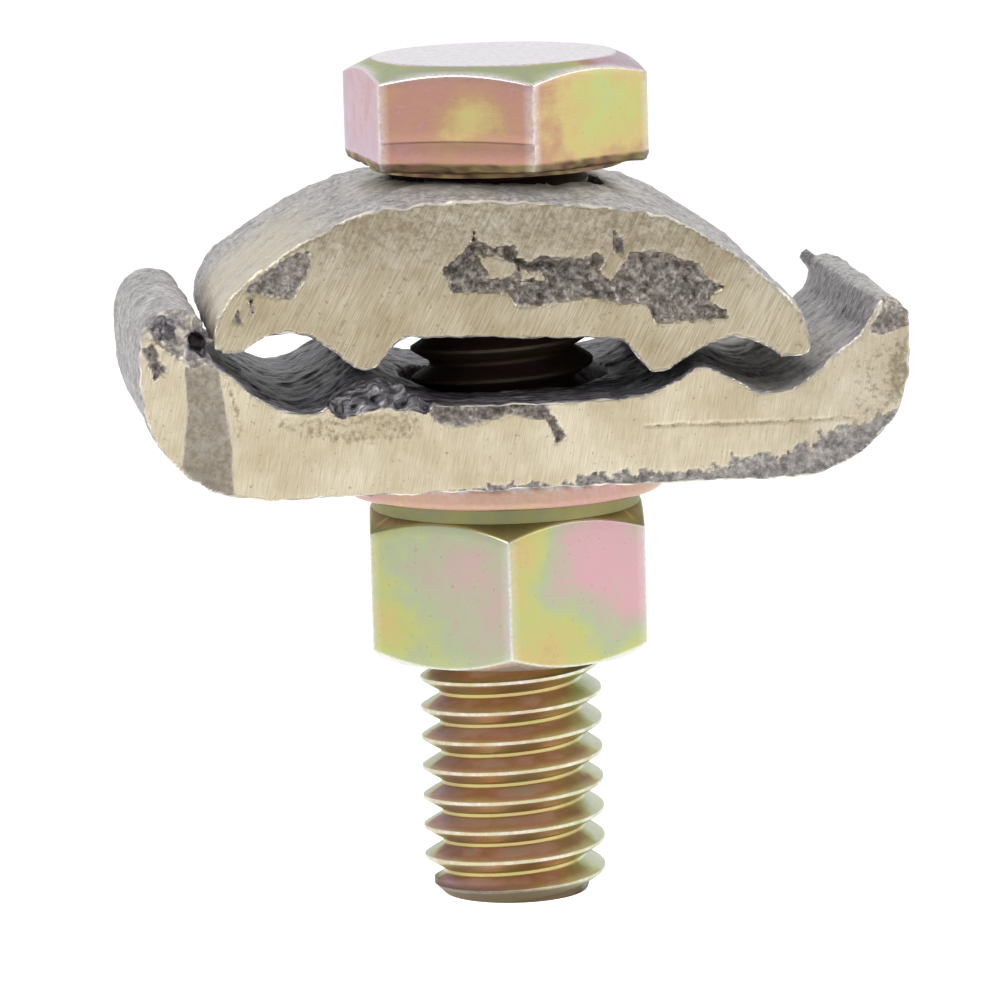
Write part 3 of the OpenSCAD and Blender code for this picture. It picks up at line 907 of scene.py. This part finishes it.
def flat_film(point, angle, height_share, turn, flats):
    """Film thickness on a hexagon's flat, from its table row, with rings that wander a little."""
    centre_u, centre_v, centre_film, rim_film, spread = flats[flat_number(angle, turn)]
    u = math.tan(off_flat(angle, turn)) / math.tan(math.radians(30))
    distance = math.hypot(0.8 * (u - centre_u), 1.3 * (height_share - centre_v))
    distance += 0.2 * swirl(point, 2.2, 11)
    return centre_film + (rim_film - centre_film) * float(smoothstep(0.2, 1.0, distance / spread))


# Flats in order of angle from the first corner: centre across and up, film there, at the rim, spread
HEAD_FLATS = (
    (0.2, 0.5, 0.14, 0.54, 1.0), (-0.3, 0.6, 0.56, 0.26, 1.0), (0.0, 0.7, 0.12, 0.06, 1.0),
    (0.25, 0.5, 0.50, 0.29, 0.55), (0.35, 0.55, 0.60, 0.36, 1.25), (0.1, 0.4, 0.26, 0.60, 1.0),
)
NUT_FLATS = (
    (0.0, 0.5, 0.18, 0.56, 1.0), (0.3, 0.4, 0.60, 0.36, 1.0), (-0.2, 0.5, 0.12, 0.64, 1.0),
    (0.35, 0.60, 0.86, 0.64, 1.2), (0.55, 0.70, 1.02, 0.54, 1.2), (0.1, 0.5, 0.58, 0.30, 1.0),
)
print("film tables for", len(HEAD_FLATS), "flats")

# %% [markdown]
# ## The head's rings
# A ring of the head is a radius and a height in every direction. The cone, the flats and the torn
# skirt under them each have a pair of small functions for that, and a die has scored one flat.

# %% Rings of the head
HEAD_TURN = math.radians(37)
HEAD_HEIGHT = 5.75
HEAD_TOP_R = 6.3
HEAD_CHAMFER = math.tan(math.radians(25))
HEAD_SKIRT = 0.66          # rough band that the trimming die left under the flats
HEAD_FACE_R = 6.6          # round bearing face under the head
MARKED_FLAT = 3            # the flat that the die scored
MARK_SHARE = 0.27          # height of the scored line, as a share of the flat
MARK_WIDTH = 0.02          # how far it reaches up and down, as a share too
MARK_DEPTH = 0.02

bolt_low, bolt_high = (corner.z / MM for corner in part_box("hex_bolt"))
head_z = bolt_high - HEAD_HEIGHT
head_radius = hex_radius(HEAD_TURN)


def head_arc(angle):
    """Height at which the chamfer meets the flats."""
    return bolt_high - (head_radius(angle) - HEAD_TOP_R) * HEAD_CHAMFER


def head_rows(share):
    """Height of a ring on the flats, from 0 at the skirt to 1 at the arcs."""
    foot = head_z + HEAD_SKIRT
    return lambda angle: foot + share * (head_arc(angle) - foot)


def chamfer_radius(share):
    """Radius of a ring on the chamfer, from 0 at the top to 1 at the arcs."""
    return lambda angle: HEAD_TOP_R + share * (head_radius(angle) - HEAD_TOP_R)


def chamfer_height(share):
    """Height of the same ring."""
    return lambda angle: bolt_high + share * (head_arc(angle) - bolt_high)


def scored_radius(angle):
    """The hexagon's radius along the die's mark, which crosses one flat only."""
    return head_radius(angle) - MARK_DEPTH * (flat_number(angle, HEAD_TURN) == MARKED_FLAT)


def around(angle, turns, seed):
    """Noise that runs round a piece and closes on itself, from -1 to 1."""
    return noise.noise((turns * math.cos(angle), turns * math.sin(angle), seed))


def ragged_skirt(height):
    """Height of a ring of the skirt, which the die tore unevenly."""
    return lambda angle: height + 0.12 * around(angle, 11, height)


def torn_radius(inset):
    """Radius of the same ring."""
    return lambda angle: head_radius(angle) - inset + 0.06 * around(angle, 20, 3 * inset)


print("head from", round(head_z, 2), "to", round(bolt_high, 2), "mm")

# %% [markdown]
# ## The bolt
# The head grows from the middle of its top, ring by ring, and ends in a flat face under it. A rolled
# thread is one profile carried along a helix. `spin` does just that when it is given a step along the
# axis: the profile of a single pitch climbs by one pitch a turn, so each turn meets the next, and
# merging doubles closes the surface. The ends are cut square.

# %% Head
CREST_R = 4.7625           # outside of the thread
bm = bmesh.new()
rim = first_ring(bm, 1.2, bolt_high, HEAD_TURN)
bmesh.ops.edgeloop_fill(bm, edges=rim)
for radius in (3.0, 4.6, 5.8, HEAD_TOP_R):
    rim = grow(bm, rim, radius, bolt_high)
for share in (0.12, 0.5, 0.88, 1.0):
    rim = grow(bm, rim, chamfer_radius(share), chamfer_height(share))
arcs = list(rim)
for share in (0.9, 0.8, 0.7, 0.6, 0.5, 0.4, MARK_SHARE + MARK_WIDTH):
    rim = grow(bm, rim, head_radius, head_rows(share))
rim = grow(bm, rim, scored_radius, head_rows(MARK_SHARE))
for share in (MARK_SHARE - MARK_WIDTH, 0.12, 0.04):
    rim = grow(bm, rim, head_radius, head_rows(share))
for inset, height in ((0.03, HEAD_SKIRT), (0.10, 0.50), (0.14, 0.38), (0.34, 0.26)):
    rim = grow(bm, rim, torn_radius(inset), ragged_skirt(head_z + height))
rim = grow(bm, rim, HEAD_FACE_R, head_z + 0.2)
rim = grow(bm, rim, HEAD_FACE_R, head_z)
rim = grow(bm, rim, CREST_R, head_z)
bmesh.ops.edgeloop_fill(bm, edges=rim)
bevel(bm, upright_corners(bm, HEAD_TURN, head_z + HEAD_SKIRT, bolt_high) + arcs, 0.1)
print("head:", len(bm.faces), "faces")

# %% Thread
PITCH = 1.5875
ROOT_R = 3.79
CREST_ANGLE = math.radians(173.27)   # where a crest stands at CREST_Z
CREST_Z = -12.9
STEPS = 64                 # steps of a turn
shank_top = head_z + 0.4   # the shank ends inside the head


def crest_height(angle):
    """Height of a crest in this direction, up to whole pitches."""
    return CREST_Z + PITCH * (angle - CREST_ANGLE) / math.tau


shank = bmesh.new()
profile = []
for share, radius in (
    (0.0, CREST_R), (0.05, CREST_R), (0.075, CREST_R - 0.04), (0.25, 4.285), (0.40, 3.86), (0.45, ROOT_R),
    (0.55, ROOT_R), (0.60, 3.86), (0.75, 4.285), (0.925, CREST_R - 0.04), (0.95, CREST_R), (1.0, CREST_R),
):
    profile.append(shank.verts.new((radius, 0, share * PITCH)))
strand = [shank.edges.new(pair) for pair in zip(profile, profile[1:])]
below = math.ceil((crest_height(0) - bolt_low) / PITCH) + 2
turns = math.ceil((bolt_high - bolt_low) / PITCH) + 2
bmesh.ops.translate(shank, vec=(0, 0, crest_height(0) - below * PITCH), verts=profile)
bmesh.ops.spin(
    shank, geom=profile + strand, cent=(0, 0, 0), axis=(0, 0, 1), dvec=(0, 0, PITCH / STEPS),
    angle=turns * math.tau, steps=turns * STEPS,
)
bmesh.ops.remove_doubles(shank, verts=shank.verts, dist=MERGE)
for cut_z, away in ((bolt_low, -1), (shank_top, 1)):
    cut = bmesh.ops.bisect_plane(
        shank, geom=[*shank.verts, *shank.edges, *shank.faces], plane_co=(0, 0, cut_z),
        plane_no=(0, 0, away), clear_outer=True, dist=0.0005,
    )["geom_cut"]
    bmesh.ops.contextual_create(shank, geom=[g for g in cut if isinstance(g, bmesh.types.BMEdge)])
shank_mesh = bpy.data.meshes.new("scratch_shank")
shank.to_mesh(shank_mesh)
shank.free()
bm.from_mesh(shank_mesh)
bpy.data.meshes.remove(shank_mesh)
print("thread:", turns, "turns before its ends were cut")

# %% [markdown]
# Corners and arcs of the head are worn to silver, and its skirt is brown. On the thread the film is
# coppery on the upper flanks and olive on the lower ones and in the root. A painted sheen, green with
# silver on one side and grey on the other, lies where the thread turns away, with a band of painted
# shade beside each, and there is silver along the crests. Up between the jaws the thread is painted
# dark brown, which is painted shade. These numbers are set while the thread still runs to its end at
# full radius. The tip is then chamfered, by holding its radius inside a cone.

# %% Finish of the head
LILAC_SIDE = math.radians(-10)       # side of the chamfer where the film is thinnest


def dirt_in_mark(angle, share):
    """Dark brown along the line that the die scored."""
    return 0.6 * (flat_number(angle, HEAD_TURN) == MARKED_FLAT and abs(share - MARK_SHARE) < 0.008)


def head_finish(point, angle, radius):
    """Film, bare silver and dullness on the head."""
    share = (point.z - head_z - HEAD_SKIRT) / (head_arc(angle) - head_z - HEAD_SKIRT)
    on_corner = smoothstep(0.16, 0.05, from_corner(angle, HEAD_TURN)) * (-0.3 < share < 1.01)
    on_arc = smoothstep(0.12, 0.04, abs(point.z - head_arc(angle)))
    bare = 0.7 * float(max(on_corner, on_arc)) * (radius > HEAD_TOP_R + 0.3)
    if point.z > bolt_high - 0.01:
        return 0.02, 0.95, 0.0
    if share > 1.01:
        lilac = float(smoothstep(0.55, 0.95, math.cos(angle - LILAC_SIDE)))
        return (1 - lilac) * (0.74 + 0.12 * swirl(point, 4, 1)), bare, 0.14
    if share < 0.02:
        return 0.46 + 0.15 * swirl(point, 1.5, 2), 0.5 * bare, 0.6 + 0.5 * swirl(point, 0.4, 8)
    film = flat_film(point, angle, share, HEAD_TURN, HEAD_FLATS) + 0.06 * swirl(point, 3, 2)
    return film, bare, dirt_in_mark(angle, share)


print("head: the top is bare, the flats carry", len(HEAD_FLATS), "films")

# %% Finish of the thread, and the bolt
GREEN_SHEEN_SIDE = math.radians(-9)        # side of the thread painted with a green sheen and silver
GREY_SHEEN_SIDE = math.radians(175)        # side painted with a grey-green sheen


def thread_finish(point, angle, radius):
    """Film, bare silver and dullness on the thread, by the place within a pitch, with painted sheen and
    shade.
    """
    phase = ((point.z - crest_height(angle)) / PITCH) % 1
    upper = float(smoothstep(0.05, 0.12, phase) * smoothstep(0.46, 0.40, phase))
    root = float(smoothstep(0.40, 0.46, phase) * smoothstep(0.62, 0.56, phase))
    # Painted sheen at the thread's two sides, green with silver on the right and grey on the left, with
    # painted shade in a band beside each.
    side = angle + 0.3 * swirl(point, 1.8, 13)
    to_green, to_grey = math.cos(side - GREEN_SHEEN_SIDE), math.cos(side - GREY_SHEEN_SIDE)
    green = float(smoothstep(0.90, 0.97, to_green))
    grey = float(smoothstep(0.94, 0.99, to_grey))
    between = (1 - green) * (1 - grey)
    shaded = float(smoothstep(0.6, 0.9, max(to_green, to_grey))) * between
    olive = float(smoothstep(0.2, 0.95, to_green))
    blotch = 0.22 * swirl(point, 2.5, 3) + 0.16 * swirl(point, 1.1, 5)
    lower_film = 0.54 + 0.08 * olive
    upper_film = 0.16 + 0.36 * olive * olive + blotch
    thickness = lower_film + (upper_film - lower_film) * upper + (0.54 - lower_film) * root
    thickness += (0.74 - thickness) * green + (0.8 - thickness) * grey
    on_tip = float(smoothstep(bolt_low + 1.1, bolt_low + 0.7, point.z))
    crest = float(smoothstep(CREST_R - 0.05, CREST_R - 0.01, radius)) * (1 - 0.7 * on_tip)
    bare = max(crest * (0.45 + 0.5 * swirl(point, 0.45, 15)), 0.28 * green)
    # Painted shade: between the jaws the thread is dark brown and rougher, and loses its silver.
    hollow_shade = 0.9 * float(smoothstep(1.0, 3.0, point.z))
    dead_and_shaded = 0.22 * upper * between + 0.18 * shaded
    return thickness, bare * (1 - hollow_shade), max(dead_and_shaded, 0.8 * on_tip, hollow_shade)


film, silver, dull = [], [], []
for vert in bm.verts:
    angle, radius = math.atan2(vert.co.y, vert.co.x), vert.co.xy.length
    on_shank = vert.co.z < shank_top + 0.01 and radius < CREST_R + 0.01
    finish = thread_finish if on_shank else head_finish
    for values, value in zip((film, silver, dull), finish(vert.co, angle, radius)):
        values.append(value)
    tip = ROOT_R + vert.co.z - bolt_low
    if on_shank and radius > tip:
        vert.co.xy *= tip / radius
write_finishes(bm, film=film, silver=silver, dull=dull)
bmesh.ops.recalc_face_normals(bm, faces=bm.faces)
finished_piece(bm, "plated_bolt", "hex_bolt", "bolt", yellow_zinc, crease=35)

# %% [markdown]
# ## The washer
# A washer is punched from strip: one edge of its rim is drawn in round by the die, and the other
# breaks sharp. Rings from its bore, out and back, and two bevels give that. Where it meets the base,
# its upper edge is chafed bright in spots, and dark brown spots there are a painted shadow of the
# base's rough edge.

# %% Washer
WASHER_BORE_R = CREST_R + 0.4
washer_low, washer_high = (corner.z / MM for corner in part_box("flat_washer"))
washer_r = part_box("flat_washer")[1].x / MM
half_way = (WASHER_BORE_R + washer_r) / 2
bm = bmesh.new()
rim = first_ring(bm, WASHER_BORE_R, washer_high, 0)
rim = grow(bm, rim, half_way, washer_high)
rim = top_edge = grow(bm, rim, washer_r, washer_high)
for share in (0.66, 0.33):
    rim = grow(bm, rim, washer_r, washer_low + share * (washer_high - washer_low))
rim = low_edge = grow(bm, rim, washer_r, washer_low)
for radius, height in ((half_way, washer_low), (WASHER_BORE_R, washer_low), (WASHER_BORE_R, washer_high)):
    rim = grow(bm, rim, radius, height)
bmesh.ops.remove_doubles(bm, verts=bm.verts, dist=0.001)
bevel(bm, [e for e in top_edge if e.is_valid], 0.12)
bevel(bm, [e for e in low_edge if e.is_valid], 0.3, segments=4)
near_top = [float(smoothstep(-0.5, -0.15, v.co.z)) for v in bm.verts]
write_finishes(
    bm,
    film=[0.29 + 0.2 * swirl(v.co, 5, 4) for v in bm.verts],
    silver=[0.12 + 0.7 * top * (swirl(v.co, 0.8, 5) > 0.15) for v, top in zip(bm.verts, near_top)],
    # Painted shadow: dark brown spots along the top of the rim, where the base's edge shades it.
    dull=[0.6 * top * (swirl(v.co, 0.9, 9) > 0.3) for v, top in zip(bm.verts, near_top)],
)
bmesh.ops.recalc_face_normals(bm, faces=bm.faces)
finished_piece(bm, "plated_washer", "flat_washer", "base", yellow_zinc)

# %% [markdown]
# ## The nut
# The nut is a hexagon turned to a cone at both ends, with a round bearing face on top. It grows from
# its bore in the same way as the head, and closes on itself at the bore's far end.

# %% Nut
NUT_TURN = math.radians(24)
NUT_CHAMFER = math.tan(math.radians(33))
NUT_COLLAR = 0.8           # height of the round bearing face
BEARING_R = APOTHEM - 0.1
NUT_BORE_R = CREST_R + 0.05
NUT_MOUTH_R = 5.3          # countersink at the ends of the bore
NUT_MOUTH_DEPTH = 0.5
NUT_ROWS = 12              # rings up the flats
nut_low, nut_high = (corner.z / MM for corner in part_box("hex_nut"))
nut_radius = hex_radius(NUT_TURN)


def nut_top_arc(angle):
    """Height at which the upper chamfer meets the flats."""
    return nut_high - NUT_COLLAR - (nut_radius(angle) - BEARING_R) * NUT_CHAMFER


def nut_low_arc(angle):
    """Height at which the lower chamfer meets the flats."""
    return nut_low + (nut_radius(angle) - BEARING_R) * NUT_CHAMFER


def nut_rows(share):
    """Height of a ring on the flats, from 0 at the lower arcs to 1 at the upper ones."""
    return lambda angle: nut_low_arc(angle) + share * (nut_top_arc(angle) - nut_low_arc(angle))


bm = bmesh.new()
rim = first_ring(bm, NUT_MOUTH_R, nut_high, NUT_TURN)
rim = grow(bm, rim, BEARING_R, nut_high)
rim = grow(bm, rim, BEARING_R, nut_high - NUT_COLLAR)
rim = grow(bm, rim, nut_radius, nut_top_arc)
arcs = list(rim)
for row in reversed(range(NUT_ROWS)):
    rim = grow(bm, rim, nut_radius, nut_rows(row / NUT_ROWS))
arcs += rim
rim = grow(bm, rim, BEARING_R, nut_low)
rim = grow(bm, rim, NUT_MOUTH_R, nut_low)
rim = grow(bm, rim, NUT_BORE_R, nut_low + NUT_MOUTH_DEPTH)
rim = grow(bm, rim, NUT_BORE_R, nut_high - NUT_MOUTH_DEPTH)
grow(bm, rim, NUT_MOUTH_R, nut_high)
bmesh.ops.remove_doubles(bm, verts=bm.verts, dist=0.001)
bevel(bm, upright_corners(bm, NUT_TURN, nut_low, nut_high) + [e for e in arcs if e.is_valid], 0.16)
print("nut:", len(bm.faces), "faces")


# %% Finish of the nut
def nut_finish(point, angle):
    """Film, bare silver, dullness and painted shade on the nut."""
    low, high = nut_low_arc(angle), nut_top_arc(angle)
    share = (point.z - low) / (high - low)
    worn_low = smoothstep(0.10, -0.02, point.z - low)
    on_corner = smoothstep(0.16, 0.05, from_corner(angle, NUT_TURN)) * (0 <= share <= 1)
    bare = 0.7 * float(max(on_corner, worn_low))
    if 0 <= share <= 1:
        film = flat_film(point, angle, share, NUT_TURN, NUT_FLATS) + 0.12 * swirl(point, 3, 6)
        return film, bare, 0.1
    # Painted shade: the round bearing face under the washer is dark brown.
    on_collar = point.z > nut_high - NUT_COLLAR - 0.02
    return 0.65 + 0.08 * swirl(point, 3, 7), bare, 0.5 if on_collar else 0.1


film, silver, dull = zip(*[nut_finish(v.co, math.atan2(v.co.y, v.co.x)) for v in bm.verts])
write_finishes(bm, film=film, silver=silver, dull=dull)
bmesh.ops.recalc_face_normals(bm, faces=bm.faces)
finished_piece(bm, "plated_nut", "hex_nut", "nut", yellow_zinc, crease=35)

# %% [markdown]
# ## Stage, light and camera
# The object hangs in a white tent: a pale floor well below it, soft lamps around it, and a white
# background. The tent is open at the front, where the camera stands, so metal that faces the camera
# mirrors a darker room and the gap between the jaws stays dark. The floor adds a little white for the
# camera and for mirrors only, so that it still shows a shadow.

# %% Floor
FLOOR_DROP = 45            # the floor lies this far below the part's origin
FLOOR_HALF = 3000
FLOOR_LIFT = 0.58          # white that the floor adds of its own

floor_bm = bmesh.new()
bmesh.ops.create_grid(floor_bm, x_segments=1, y_segments=1, size=FLOOR_HALF * MM)
bmesh.ops.translate(floor_bm, vec=(0, 0, -FLOOR_DROP * MM), verts=floor_bm.verts)
floor_mesh = bpy.data.meshes.new("floor")
floor_bm.to_mesh(floor_mesh)
floor_bm.free()
floor = bpy.data.objects.new("floor", floor_mesh)
bpy.context.scene.collection.objects.link(floor)

paper = bpy.data.materials.new("White paper floor")
paper.use_nodes = True
tree = paper.node_tree
tree.nodes.clear()
path = add(tree, "ShaderNodeLightPath").outputs
seen = add(tree, "ShaderNodeMath", {
    0: path["Is Camera Ray"], 1: path["Is Glossy Ray"],
}, operation="MAXIMUM").outputs[0]
added = add(tree, "ShaderNodeMath", {0: seen, 1: FLOOR_LIFT}, operation="MULTIPLY").outputs[0]
glow = add(tree, "ShaderNodeEmission", {"Color": linear("#ffffff"), "Strength": added}).outputs[0]
matte = add(tree, "ShaderNodeBsdfDiffuse", {"Color": linear("#f2f2f2")}).outputs[0]
both = add(tree, "ShaderNodeAddShader", {0: matte, 1: glow}).outputs[0]
add(tree, "ShaderNodeOutputMaterial", {"Surface": both})
floor_mesh.materials.append(paper)
print("floor at", -FLOOR_DROP, "mm")

# %% Tent
ORDINARY_LIGHT = 0.55      # strength of the tent on dull surfaces
OPEN_SIDE = 0.35           # strength of the open front

world = bpy.data.worlds.new("White tent, open at the front")
bpy.context.scene.world = world
world.use_nodes = True
tree = world.node_tree
tree.nodes.clear()
path = add(tree, "ShaderNodeLightPath").outputs
direction = add(tree, "ShaderNodeTexCoord").outputs["Generated"]
to_front = add(tree, "ShaderNodeVectorMath", {
    0: direction, 1: (0, -1, 0),
}, operation="DOT_PRODUCT").outputs["Value"]
front = add(tree, "ShaderNodeMapRange", {
    "Value": to_front, "From Min": 0.3, "From Max": 0.95, "To Min": 1.0, "To Max": OPEN_SIDE,
}).outputs[0]
walls = add(tree, "ShaderNodeMapRange", {
    "Value": path["Is Glossy Ray"], "To Min": ORDINARY_LIGHT, "To Max": 1.0,
}).outputs[0]
tent = add(tree, "ShaderNodeMath", {0: front, 1: walls}, operation="MULTIPLY").outputs[0]
strength = add(tree, "ShaderNodeMix", {
    FACTOR: path["Is Camera Ray"], NUMBER_A: tent, NUMBER_B: 1.0,
}).outputs[0]
sky = add(tree, "ShaderNodeBackground", {"Color": linear("#ffffff"), "Strength": strength}).outputs[0]
add(tree, "ShaderNodeOutputWorld", {"Surface": sky})
print("world:", world.name)

# %% [markdown]
# The camera stands a little to the left, a little above, and far away with a long lens. Three large
# soft lamps keep the shadows faint. The one in the roof isn't mirrored, because from above the flat
# top of the head would show it as a white disk.

# %% Lamps and camera
LAMPS = (                  # name, place in mm, size in mm, power in W, whether metal mirrors it
    ("key_left", (-260, -240, 260), 220, 0.55, True),
    ("fill_right", (300, -160, 140), 220, 0.35, True),
    ("top", (20, 60, 380), 420, 0.5, False),
)
CAMERA_PLACE = Vector((-42.85, -363.15, 57.01))
CAMERA_TURN = (80.826, 1.567, -6.937)
SENSOR = 36
LENS = 254.4

for name, place, size, power, mirrored in LAMPS:
    light = bpy.data.lights.new(name, "AREA")
    light.shape = "DISK"
    light.size = size * MM
    light.energy = power
    lamp = bpy.data.objects.new(name, light)
    lamp.location = Vector(place) * MM
    lamp.rotation_euler = (-Vector(place)).to_track_quat("-Z", "Y").to_euler()
    lamp.visible_glossy = mirrored
    bpy.context.scene.collection.objects.link(lamp)

camera = bpy.data.objects.new("camera", bpy.data.cameras.new("camera"))
camera.data.lens = LENS
camera.data.sensor_width = SENSOR
camera.location = CAMERA_PLACE * MM
camera.rotation_euler = [math.radians(a) for a in CAMERA_TURN]
bpy.context.scene.collection.objects.link(camera)
bpy.context.scene.camera = camera
bpy.context.scene.view_settings.view_transform = "Standard"
print("lamps:", [lamp[0] for lamp in LAMPS])
